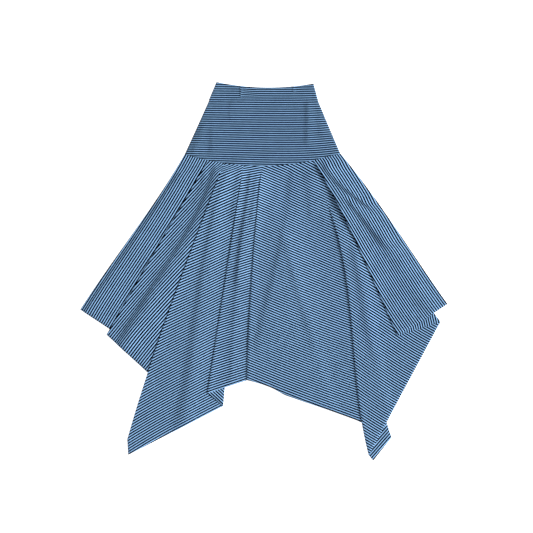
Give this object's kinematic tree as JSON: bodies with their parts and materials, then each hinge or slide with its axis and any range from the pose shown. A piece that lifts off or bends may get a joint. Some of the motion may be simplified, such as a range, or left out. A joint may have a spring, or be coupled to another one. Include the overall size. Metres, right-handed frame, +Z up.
{
  "type": "flared skirt",
  "caption": "Long flared jersey skirt with a flat elastic waistband, a curved hip yoke and a handkerchief hem, laid flat in knife folds.",
  "frame": {"origin": "bottom centre of the box round the laid skirt, on the surface that it lies on", "axes": "+Z up through the cloth, +Y from the hem to the waist, +X to the right as seen from above with the waist at the top"},
  "size_m": [1.065, 1.0978, 0.0141],
  "materials": {
    "striped_jersey": "matte"
  },
  "bodies": {
    "root": {"waistband": "striped_jersey", "yoke_front": "striped_jersey", "yoke_back": "striped_jersey", "skirt_front": "striped_jersey", "skirt_back": "striped_jersey"}
  },
  "joints": []
}
